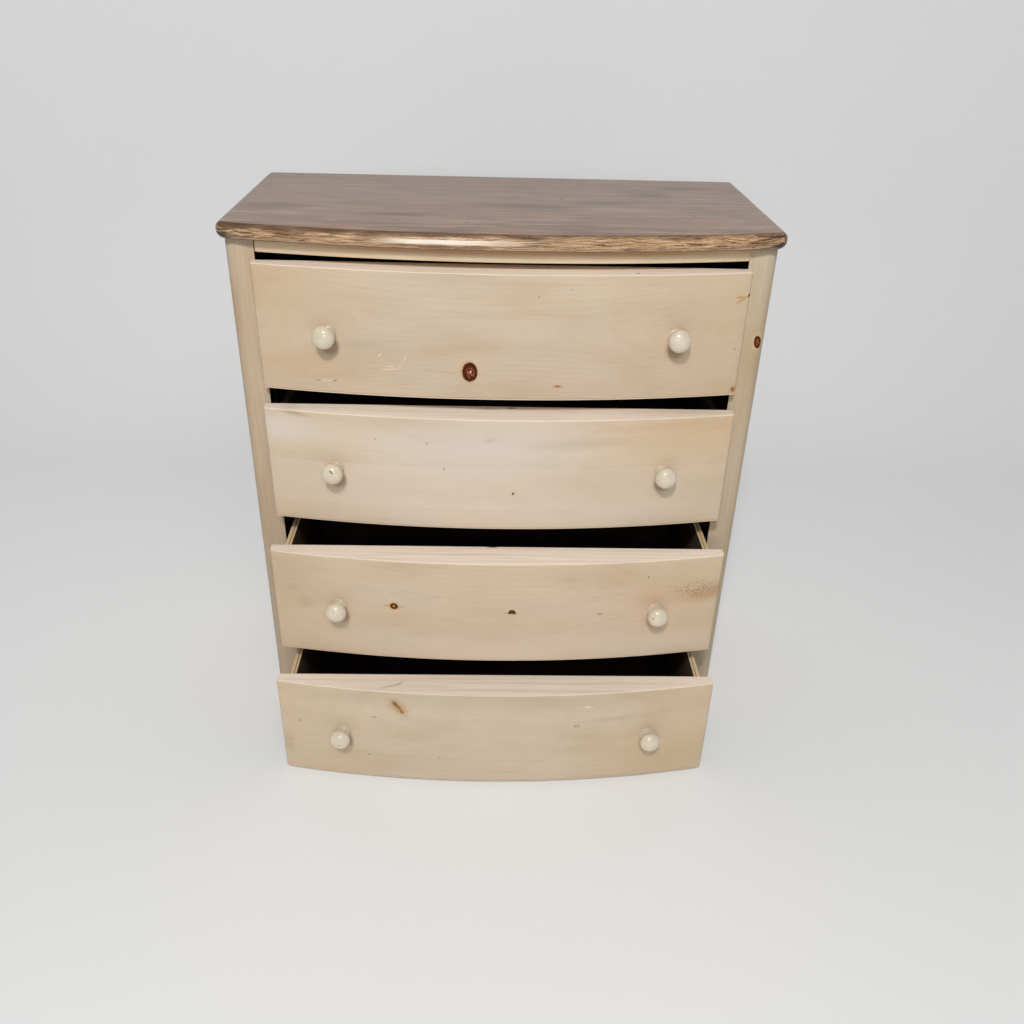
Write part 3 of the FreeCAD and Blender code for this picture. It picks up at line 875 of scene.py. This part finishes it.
def turned(name, outline, steps):
    """A turned piece about the Z axis, from an outline of (radius, height) points."""
    first = Vector((outline[0][0], 0, outline[0][1]))
    bpy.ops.mesh.primitive_plane_add(size=0.001, location=first)
    piece = bpy.context.active_object
    piece.name = name
    settle()
    work_on(piece)
    bpy.ops.mesh.select_mode(type="VERT")
    select_all()
    bpy.ops.mesh.merge(type="CENTER")
    for (r0, z0), (r1, z1) in zip(outline, outline[1:]):
        bpy.ops.mesh.extrude_region_move(TRANSFORM_OT_translate={"value": (r1 - r0, 0, z1 - z0)})
    select_all()
    bpy.ops.mesh.spin(steps=steps, angle=2 * math.pi, center=(0, 0, 0), axis=(0, 0, 1))
    face_outwards()
    put_down()
    return piece


def arc(centre, radius, start, end, steps):
    """Points (radius, height) along a round stretch of an outline; angles are in degrees."""
    points = []
    for count in range(steps + 1):
        angle = math.radians(start + (end - start) * count / steps)
        points.append((centre[0] + radius * math.cos(angle), centre[1] + radius * math.sin(angle)))
    return points


def copies(pattern, name, places):
    """Copies of one small piece, joined: each place is (point, direction of its axis)."""
    made = []
    for point, direction in places:
        copy = pattern.copy()
        copy.data = pattern.data.copy()
        bpy.context.scene.collection.objects.link(copy)
        turn = Vector((0, 0, 1)).rotation_difference(Vector(direction)).to_matrix().to_4x4()
        copy.data.transform(Matrix.Translation(Vector(point)) @ turn)
        made.append(copy)
    deselect()
    for copy in made:
        copy.select_set(True)
    bpy.context.view_layer.objects.active = made[0]
    if len(made) > 1:
        bpy.ops.object.join()
    made[0].name = name
    return made[0]


def cut_away(piece, cutter):
    """Cut one shape out of a piece and throw the cutter away."""
    take(piece)
    cut = piece.modifiers.new("cut", "BOOLEAN")
    cut.operation = "DIFFERENCE"
    cut.solver = "EXACT"
    cut.object = cutter
    bpy.ops.object.modifier_apply(modifier=cut.name)
    bpy.data.objects.remove(cutter, do_unlink=True)


# ---- drawer fronts --------------------------------------------------------------------------
NEAR = 0.0001                    # how near a place counts as the same


def dovetail_cutter(number, side):
    """Solid of a stopped dovetail slot; side is -1 on the left and 1 on the right."""
    low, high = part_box("drawer_%d_side_%s" % (number, "right" if side > 0 else "left"))
    front_low, front_high = front_box(number)
    middle = side * (abs(low.x + high.x) / 2)
    bottom = front_low.z - 0.01
    bpy.ops.mesh.primitive_cube_add(size=1, location=(
        middle, front_high.y - DOVETAIL_LENGTH / 2, (bottom + high.z) / 2))
    cutter = bpy.context.active_object
    cutter.scale = (DOVETAIL_NECK, DOVETAIL_LENGTH, high.z - bottom)
    settle()
    work_on(cutter)
    pick(cutter, "faces", lambda co, normal: normal.y < -0.9)
    bpy.ops.transform.resize(value=(DOVETAIL_ROOT / DOVETAIL_NECK, 1, 1),
                             center_override=(middle, 0, 0))
    pick(cutter, "faces", lambda co, normal: normal.y > 0.9)
    bpy.ops.mesh.extrude_region_move(TRANSFORM_OT_translate={"value": (0, 0.002, 0)})
    put_down()
    return cutter


def drawer_front(number, material):
    """Solid bowed drawer front with rounded arrises and two stopped dovetail slots."""
    node = "drawer_%d_front" % number
    low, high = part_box(node)
    ends = high.y - FRONT_END_THICKNESS
    piece = bowed_block("bowed_front_%d" % number, high.x, ends, low.y, high.y, low.z, high.z)
    pick(piece, "edges", lambda a, b: abs(a.z - b.z) > 0.1 and abs(a.x) > high.x - NEAR
         and a.y < ends + NEAR)
    round_over(piece, FRONT_END_ROUND, 4, worn=False)
    face_edge = high.y - FRONT_END_THICKNESS + FRONT_END_ROUND + NEAR
    for level in (low.z, high.z):
        pick(piece, "edges", lambda a, b: abs(a.z - level) < NEAR and abs(b.z - level) < NEAR
             and a.y < face_edge and b.y < face_edge and on_rim(a, b, low, high))
        round_over(piece, FRONT_EDGE_ROUND, 3, worn=level > low.z + NEAR)
    put_down()
    for side in (-1, 1):
        cut_away(piece, dovetail_cutter(number, side))
    return finish_piece(piece, "drawer_%d" % number, node, material)


def on_rim(a, b, low, high):
    """Whether an edge of a flat rim lies on the outline rather than across it."""
    return abs(a.x - b.x) > NEAR or abs(a.x) > high.x - NEAR


# ---- top board ------------------------------------------------------------------------------
def top_outline(low, high):
    """Upright strip round the front and ends of the top, from its left to its right end."""
    ends = low.y + TOP_BOW_RISE
    bow = (high.x ** 2 + TOP_BOW_RISE ** 2) / (2 * TOP_BOW_RISE)
    inner = bow - TOP_CORNER_RADIUS
    corner_x = high.x - TOP_CORNER_RADIUS
    corner_y = low.y + bow - math.sqrt(inner ** 2 - corner_x ** 2)
    lean = math.asin(corner_x / inner)
    corner = math.pi / 2 - lean
    piece = upright_edge("nosed_top", -high.x, high.y, low.z, high.z)
    select_all()
    bpy.ops.mesh.extrude_region_move(TRANSFORM_OT_translate={"value": (0, corner_y - high.y, 0)})
    bpy.ops.mesh.spin(steps=CORNER_STEPS, angle=corner, center=(-corner_x, corner_y, 0),
                      axis=(0, 0, -1))
    bpy.ops.mesh.spin(steps=BOW_STEPS, angle=2 * lean, center=(0, low.y + bow, 0), axis=(0, 0, -1))
    bpy.ops.mesh.spin(steps=CORNER_STEPS, angle=corner, center=(corner_x, corner_y, 0),
                      axis=(0, 0, -1))
    bpy.ops.mesh.extrude_region_move(TRANSFORM_OT_translate={"value": (0, high.y - corner_y, 0)})
    return piece


def top_board(material):
    """Top with a bowed front, rounded corners and a worn nosing on its front and ends."""
    low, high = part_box("top_board")
    piece = top_outline(low, high)
    for level in (low.z, high.z):
        pick(piece, "edges", lambda a, b: abs(a.z - level) < NEAR and abs(b.z - level) < NEAR)
        bpy.ops.mesh.edge_face_add()
    pick(piece, "verts", lambda co: co.y > high.y - NEAR)
    bpy.ops.mesh.edge_face_add()
    face_outwards()
    for level in (low.z, high.z):
        pick(piece, "edges", lambda a, b: abs(a.z - level) < NEAR and abs(b.z - level) < NEAR
             and min(a.y, b.y) < high.y - NEAR)
        round_over(piece, TOP_NOSE_RADIUS, NOSE_STEPS, worn=False)
    pick(piece, "edges", lambda a, b: min(a.y, b.y) > high.y - NEAR
         and min(abs(a.x), abs(b.x)) > high.x - TOP_NOSE_RADIUS - NEAR)
    round_over(piece, TOP_BACK_ROUND, 3, worn=False)
    put_down()
    return finish_piece(piece, "case", "top_board", material)


# ---- knobs, screws and nails ----------------------------------------------------------------
def knob_pattern():
    """Knob on the XY plane: collar of three beads, a neck and a slightly flattened ball."""
    outline = [(0, 0), (KNOB_COLLAR_RADIUS - 0.0018, 0)]
    for height, radius, inset in KNOB_BEADS:
        outline += arc((KNOB_COLLAR_RADIUS - inset - radius, height), radius, -80, 80, 8)
    start = math.acos(KNOB_NECK_RADIUS / KNOB_BALL_RADIUS)
    for count in range(BALL_STEPS):
        angle = -start + (math.pi / 2 + start) * count / BALL_STEPS
        outline.append((KNOB_BALL_RADIUS * math.cos(angle),
                        KNOB_BALL_CENTRE + KNOB_BALL_DEPTH * math.sin(angle)))
    outline.append((0, KNOB_BALL_CENTRE + KNOB_BALL_DEPTH))
    return turned("knob_pattern", outline, KNOB_STEPS)


def front_bow(number):
    """Radius of the bow of a drawer front."""
    low, high = front_box(number)
    rise = high.y - FRONT_END_THICKNESS - low.y
    return (high.x ** 2 + rise ** 2) / (2 * rise)


def knob_seat(number, side):
    """Point on the bowed face where a knob stands, and the direction square to the face."""
    low, high = front_box(number)
    radius = front_bow(number)
    slope = side * KNOB_SPACING / 2 / radius
    depth = math.sqrt(1 - slope ** 2)
    height = (low.z + high.z) / 2 + KNOB_RISE - KNOB_SLIPS[number][side > 0]
    point = Vector((slope * radius, low.y + radius * (1 - depth), height))
    return point, Vector((slope, -depth, 0))


def drawer_knobs(pattern, material):
    for number in DRAWERS:
        places = [knob_seat(number, side) for side in (-1, 1)]
        pair = copies(pattern, "knob_pair_%d" % number, places)
        finish_piece(pair, "drawer_%d" % number, "drawer_%d_knobs" % number,
                     material, smooth=60)


def screw_pattern():
    """Pan head of a machine screw with a cross slot."""
    outline = [(0, 0), (SCREW_HEAD_RADIUS, 0), (SCREW_HEAD_RADIUS, SCREW_HEAD_HEIGHT * 0.4)]
    outline += arc((SCREW_HEAD_RADIUS * 0.5, SCREW_HEAD_HEIGHT * 0.4), SCREW_HEAD_RADIUS * 0.5, 10,
                   80, 5)
    outline += [(0, outline[-1][1])]
    head = turned("screw_pattern", outline, 24)
    for turn in (0, math.pi / 2):
        bpy.ops.mesh.primitive_cube_add(size=1, location=(0, 0, SCREW_HEAD_HEIGHT * 1.2),
                                        rotation=(0, 0, turn))
        slot = bpy.context.active_object
        slot.scale = (SCREW_HEAD_RADIUS * 1.1, SCREW_HEAD_RADIUS * 0.22, SCREW_HEAD_HEIGHT)
        cut_away(head, slot)
    return head


def drawer_screws(pattern, material):
    """Heads of the knob screws, on the back of each drawer front."""
    for number in DRAWERS:
        places = []
        for side in (-1, 1):
            point, outward = knob_seat(number, side)
            back = front_box(number)[1].y
            through = (back - point.y) / outward.y
            places.append((point + outward * through, Vector((0, 1, 0))))
        heads = copies(pattern, "knob_screw_heads_%d" % number, places)
        finish_piece(heads, "drawer_%d" % number, None, material, smooth=30)


def nail_pattern():
    """Flat round nail head with a soft rim."""
    outline = [(0, 0), (NAIL_HEAD_RADIUS, 0)]
    outline += arc((NAIL_HEAD_RADIUS - 0.0003, NAIL_HEAD_HEIGHT - 0.0003), 0.0003, 0, 90, 3)
    outline += [(0, NAIL_HEAD_HEIGHT)]
    return turned("nail_pattern", outline, 16)


def back_panel_nails(pattern, material):
    """Nails down both edges of the back panel."""
    low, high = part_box("back_panel")
    places = []
    for row in range(NAILS_PER_EDGE):
        height = low.z + (high.z - low.z) * (row + 0.5) / NAILS_PER_EDGE
        for side in (-1, 1):
            places.append((Vector((side * (high.x - NAIL_INSET), high.y, height)),
                           Vector((0, 1, 0))))
    nails = copies(pattern, "back_panel_nail_heads", places)
    finish_piece(nails, "case", None, material, smooth=30)


# ---- dressing the whole chest ---------------------------------------------------------------
def front_finishes():
    """A finish for each drawer front: its own growth rings, knots and marks."""
    low = {number: front_box(number)[0] for number in DRAWERS}
    finishes = {}
    big_knot = ((-0.0468, 0, low[1].z + 0.0436), (0.055, THROUGH, 0.036), 0.012)
    middle_knot = ((-0.1659, 0, low[3].z + 0.1037), (0.045, THROUGH, 0.022), 0.006)
    half_knot = ((0.0227, 0, low[3].z + 0.0997), (0.040, THROUGH, 0.018), 0.005)
    slant_knot = ((-0.1600, 0, low[4].z + 0.1597), (0.060, THROUGH, 0.035), 0.007)
    strip = (low[2].z + 0.0355, low[2].z + 0.1075, srgb(222, 206, 190), 0.50)
    plans = {
        1: dict(pith=(0, 0.030, low[1].z + 0.110), mean=(206, 187, 164), knots=(big_knot,),
                figure=0.38),
        2: dict(pith=(0, 0.400, low[2].z + 0.080), mean=(212, 194, 171), figure=0.20,
                strips=(strip,)),
        3: dict(pith=(0, 0.060, low[3].z + 0.040), mean=(208, 187, 163),
                knots=(middle_knot, half_knot), figure=0.25),
        4: dict(pith=(0, 0.020, low[4].z + 0.150), mean=(210, 193, 170), knots=(slant_knot,),
                figure=0.28),
    }
    for number in DRAWERS:
        def marks(finish, colour, number=number):
            colour = add_front_marks(finish, colour, number)
            for kind, right, up, width, height, turn in FRONT_KNOTS.get(number, []):
                centre = (right * MM, 0, low[number].z + up * MM)
                radii = (width * MM, THROUGH, height * MM)
                colour = add_knot(finish, colour, kind, centre, radii, turn)
            return colour
        finishes[number] = limed_pine("limed_front_%d" % number, "x", marks=marks,
                                      rims=front_box(number), **plans[number])
    return finishes


# Knots of the fronts: kind, right of the middle, above the lower edge, half width, half height
# and turn in degrees.
FRONT_KNOTS = {
    1: [("whole", -46.8, 43.6, 10.8, 14.5, 0),
        # Painted highlight: a small bright glint on the big knot of drawer 1.
        ("painted_glint", -45.8, 44, 1.4, 1.7, 0)],
    3: [("ring", -165.9, 103.7, 6, 5.6, -20),
        ("half", 22.7, 96, 6.2, 7.2, 0)],
}
# Colours of a knot from its middle to its rim.
KNOT_COLOURS = {
    "whole": [(0.0, srgb(112, 52, 14)), (0.60, srgb(90, 38, 6)), (0.85, srgb(58, 20, 0)),
              (1.0, srgb(76, 30, 0))],
    # Painted highlight: the colours of the glint on drawer 1's big knot.
    "painted_glint": [(0.0, srgb(255, 244, 226)), (1.0, srgb(226, 160, 110))],
    "ring": [(0.0, srgb(232, 190, 122)), (0.26, srgb(170, 114, 48)), (0.52, srgb(84, 44, 4)),
             (1.0, srgb(76, 38, 2))],
    "half": [(0.0, srgb(176, 118, 60)), (0.34, srgb(120, 72, 22)), (0.6, srgb(80, 42, 4)),
             (1.0, srgb(72, 36, 2))],
}


def add_knot(finish, colour, kind, centre, radii, turn=0):
    """Dark red-brown knot; a whole one has pale flecks, and a half one is cut off below.
    The glint kind is a small painted highlight, not a knot.
    """
    place = finish.move(radii, centre, about_y(turn))
    ragged = finish.noise((0.003, 0.02, 0.003), detail=3.0)
    reach = finish.stray(finish.distance(place), ragged, 0.22)
    if kind == "half":
        below = finish.math("MULTIPLY_ADD", finish.split(place)[2], -6.0, 1.0)
        reach = finish.math("MAXIMUM", reach, below)
    heart = finish.ramp(reach, KNOT_COLOURS[kind])
    if kind == "whole":
        fleck = finish.noise((0.0012, 0.02, 0.0030), detail=2.0)
        fleck = finish.times(finish.step(fleck, 0.54, 0.66, 0.0, 0.9),
                             finish.step(reach, 0.80, 0.40))
        heart = finish.blend(fleck, heart, srgb(226, 160, 124))
    return finish.lay(colour, heart, reach, 1.16, 0.94)


def dress_fronts():
    finishes = front_finishes()
    for number in DRAWERS:
        drawer_front(number, finishes[number])


def dress_drawer_boxes(side_wood, back_wood, bottom_wood):
    for number in DRAWERS:
        body = "drawer_%d" % number
        for hand in ("left", "right"):
            node = "drawer_%d_side_%s" % (number, hand)
            eased_board(node, "%s_side_%d" % (hand, number), body, side_wood,
                        ease=0.0006)
        eased_board("drawer_%d_back" % number, "back_of_drawer_%d" % number, body,
                    back_wood, ease=0.0006)
        paint("drawer_%d_bottom" % number, bottom_wood)


def paint(node, material):
    """Give a CAD piece that stays its finish."""
    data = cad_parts[node].data
    data.materials.clear()
    data.materials.append(material)


POST_KNOT = (0.3871, 0, 0.7352)


def post_marks(finish, colour):
    """Oval knot near the outer edge of the right post, and painted shade on the inner faces."""
    colour = add_mark(finish, colour, "halo", POST_KNOT, (0.0090, THROUGH, 0.0155), (0, 0, 0))
    colour = add_knot(finish, colour, "whole", POST_KNOT, (0.0054, THROUGH, 0.0098), 12)
    return painted_inside_shade(finish, colour)


def painted_inside_shade(finish, colour):
    """Painted shade on the inner faces of the posts: brown low down, near black above drawer 4."""
    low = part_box("post_right")[0]
    across = finish.math("ABSOLUTE", finish.split()[0])
    inside = finish.times(finish.step(across, low.x + 0.0005, low.x + 0.0002),
                          finish.step(finish.split()[1], low.y + 0.0003, low.y + 0.0007))
    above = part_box("drawer_4_front")[1].z + 0.026
    shade = finish.step(finish.split()[2], above, above + 0.010)
    shade = finish.blend(shade, srgb(126, 100, 76), srgb(10, 8, 6))
    return finish.blend(inside, colour, shade)


def rail_marks(finish, colour):
    """Painted shade under the nosing on the top rail, and the rail's open joint with the left
    post.
    """
    low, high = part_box("top_rail")
    height = finish.split()[2]
    ragged = finish.noise((0.04, 0.04, 0.01), detail=3.0)
    height = finish.stray(height, ragged, 0.0016)
    right = finish.split()[0]
    # Painted shade: a browner band under the nosing, weaker towards both ends.
    band = finish.times(finish.step(height, high.z - 0.0118, high.z - 0.0050, 0.0, 0.80),
                        finish.step(right, -0.34, -0.16, 0.12, 1.0))
    band = finish.times(band, finish.step(right, 0.20, 0.36, 1.0, 0.35))
    colour = finish.blend(band, colour, srgb(192, 144, 108))
    joint = finish.step(finish.split()[0], low.x + 0.0022, low.x + 0.0014)
    return finish.blend(joint, colour, srgb(18, 11, 6))


def dress_case(rough_wood, board_wood):
    post_knot = (POST_KNOT, (0.020, THROUGH, 0.045), 0.006)
    right = limed_pine("limed_post_right", "z", (0.300, 0.060, 0), (193, 175, 150),
                       marks=post_marks, knots=(post_knot,), figure=0.4)
    left = limed_pine("limed_post_left", "z", (-0.300, 0.080, 0), (192, 171, 146),
                      marks=painted_inside_shade, figure=0.4)
    right_board = limed_pine("limed_panel_right", "z", (0.345, -0.16, 0), (200, 180, 154),
                             spacing=0.0085, wander=0.050, figure=0.7)
    left_board = limed_pine("limed_panel_left", "z", (-0.345, 0.52, 0), (200, 180, 154),
                            spacing=0.0085, wander=0.050, figure=0.7)
    rail = limed_pine("limed_rail", "x", (0, 0.10, 0.8), (222, 201, 169), marks=rail_marks,
                      figure=0.3)
    base = limed_pine("limed_base", "x", (0, 0.10, 0.1), (200, 178, 152), figure=0.4)
    limed_boards = [
        ("post_right", "right_post", right),
        ("post_left", "left_post", left),
        ("side_panel_right", "right_panel", right_board),
        ("side_panel_left", "left_panel", left_board),
        ("top_rail", "bowed_rail", rail),
    ]
    for node, name, wood in limed_boards:
        eased_board(node, name, "case", wood)
    eased_board("base_rail", "floor_rail", "case", base)
    eased_board("back_panel", "back_sheet", "case", board_wood, ease=0.0005)
    inner = ["drawer_rail_1", "drawer_rail_2", "drawer_rail_3", "back_rail_top",
             "back_rail_bottom", "cleat_left", "cleat_right"]
    for number in DRAWERS:
        inner += ["runner_%d_left" % number, "runner_%d_right" % number]
    for node in inner:
        paint(node, rough_wood)


def dress_chest():
    inner = raw_wood("rough_pine", "x", (0, 0.3, 0.4), srgb(84, 66, 50), srgb(62, 46, 34))
    back = raw_wood("drawer_back_wood", "x", (0, 0.1, 0.2), srgb(78, 62, 48), srgb(58, 44, 33))
    bottom = raw_wood("drawer_bottom_wood", "x", (0, 0.1, -0.4), srgb(66, 52, 40),
                      srgb(50, 38, 29), spacing=0.009)
    sheet = raw_wood("back_sheet_wood", "z", (0.1, 0.9, 0), srgb(120, 94, 66), srgb(92, 68, 46),
                     spacing=0.008)
    sides = drawer_side_wood(srgb(226, 204, 166), srgb(206, 178, 136), srgb(66, 52, 40))
    steel = plated_steel()
    dress_fronts()
    top_board(stained_top())
    dress_drawer_boxes(sides, back, bottom)
    dress_case(inner, sheet)
    knob = knob_pattern()
    drawer_knobs(knob, cream_glaze())
    screw = screw_pattern()
    drawer_screws(screw, steel)
    nail = nail_pattern()
    back_panel_nails(nail, steel)
    for pattern in (knob, screw, nail):
        bpy.data.objects.remove(pattern, do_unlink=True)


dress_chest()


# ---- studio ---------------------------------------------------------------------------------
FLOOR_SIZE = 9.0
WALL_DISTANCE = 1.6              # from the origin back to the wall
COVE_RADIUS = 0.6
WALL_HEIGHT = 4.0
BACKDROP_GLOW = 0.06             # seen by the camera and in reflections, but lights nothing


def backdrop():
    """Pale floor that curves up into a pale wall."""
    bpy.ops.mesh.primitive_plane_add(size=FLOOR_SIZE,
                                     location=(0, WALL_DISTANCE - FLOOR_SIZE / 2, 0))
    sweep = bpy.context.active_object
    sweep.name = "backdrop"
    settle()
    work_on(sweep)
    pick(sweep, "edges", lambda a, b: min(a.y, b.y) > WALL_DISTANCE - NEAR)
    bpy.ops.mesh.extrude_region_move(TRANSFORM_OT_translate={"value": (0, 0, WALL_HEIGHT)})
    pick(sweep, "edges", lambda a, b: min(a.y, b.y) > WALL_DISTANCE - NEAR
         and max(a.z, b.z) < NEAR)
    bpy.ops.mesh.bevel(offset=COVE_RADIUS, segments=16, affect="EDGES")
    put_down()
    bpy.ops.object.shade_smooth()
    finish = Finish("backdrop_paint")
    cloud = finish.noise((1.5, 1.5, 1.5), detail=1.0)
    colour = finish.ramp(cloud, [(0.3, srgb(234, 235, 236)), (0.7, srgb(238, 239, 240))])
    rays = finish.node("ShaderNodeLightPath", {}).outputs
    seen = finish.math("MAXIMUM", rays["Is Camera Ray"], rays["Is Glossy Ray"])
    seen = finish.math("MAXIMUM", seen, rays["Is Transmission Ray"])
    finish.feed(finish.shader.inputs["Emission Strength"], finish.times(seen, BACKDROP_GLOW))
    finish.shader.inputs["Emission Color"].default_value = (1, 1, 1, 1)
    sweep.data.materials.append(finish.close(colour, 0.7))


def softbox(name, place, target, width, height, power):
    """A soft lamp aimed at a point."""
    data = bpy.data.lights.new(name, "AREA")
    data.shape = "RECTANGLE"
    data.size = width
    data.size_y = height
    data.energy = power
    lamp = bpy.data.objects.new(name, data)
    lamp.location = place
    aim = Vector(target) - Vector(place)
    lamp.rotation_euler = aim.to_track_quat("-Z", "Y").to_euler()
    bpy.context.scene.collection.objects.link(lamp)


def studio():
    backdrop()
    middle = (0, 0, 0.45)
    softbox("strip_lamp", (-0.34, -4.34, 1.74), middle, 1.1, 0.30, 22)
    softbox("front_lamp", (0, -3.77, 2.90), middle, 2.2, 1.2, 12)
    softbox("key_lamp", (-0.40, -2.93, 3.70), middle, 0.42, 0.42, 94)
    softbox("fill_lamp", (0.62, -2.95, 3.70), middle, 1.5, 1.0, 16)
    world = bpy.data.worlds.new("room_light")
    world.use_nodes = True
    world.node_tree.nodes["Background"].inputs["Color"].default_value = (1.0, 0.96, 0.90, 1)
    world.node_tree.nodes["Background"].inputs["Strength"].default_value = 0.20
    bpy.context.scene.world = world
    bpy.context.scene.view_settings.view_transform = "Standard"


studio()
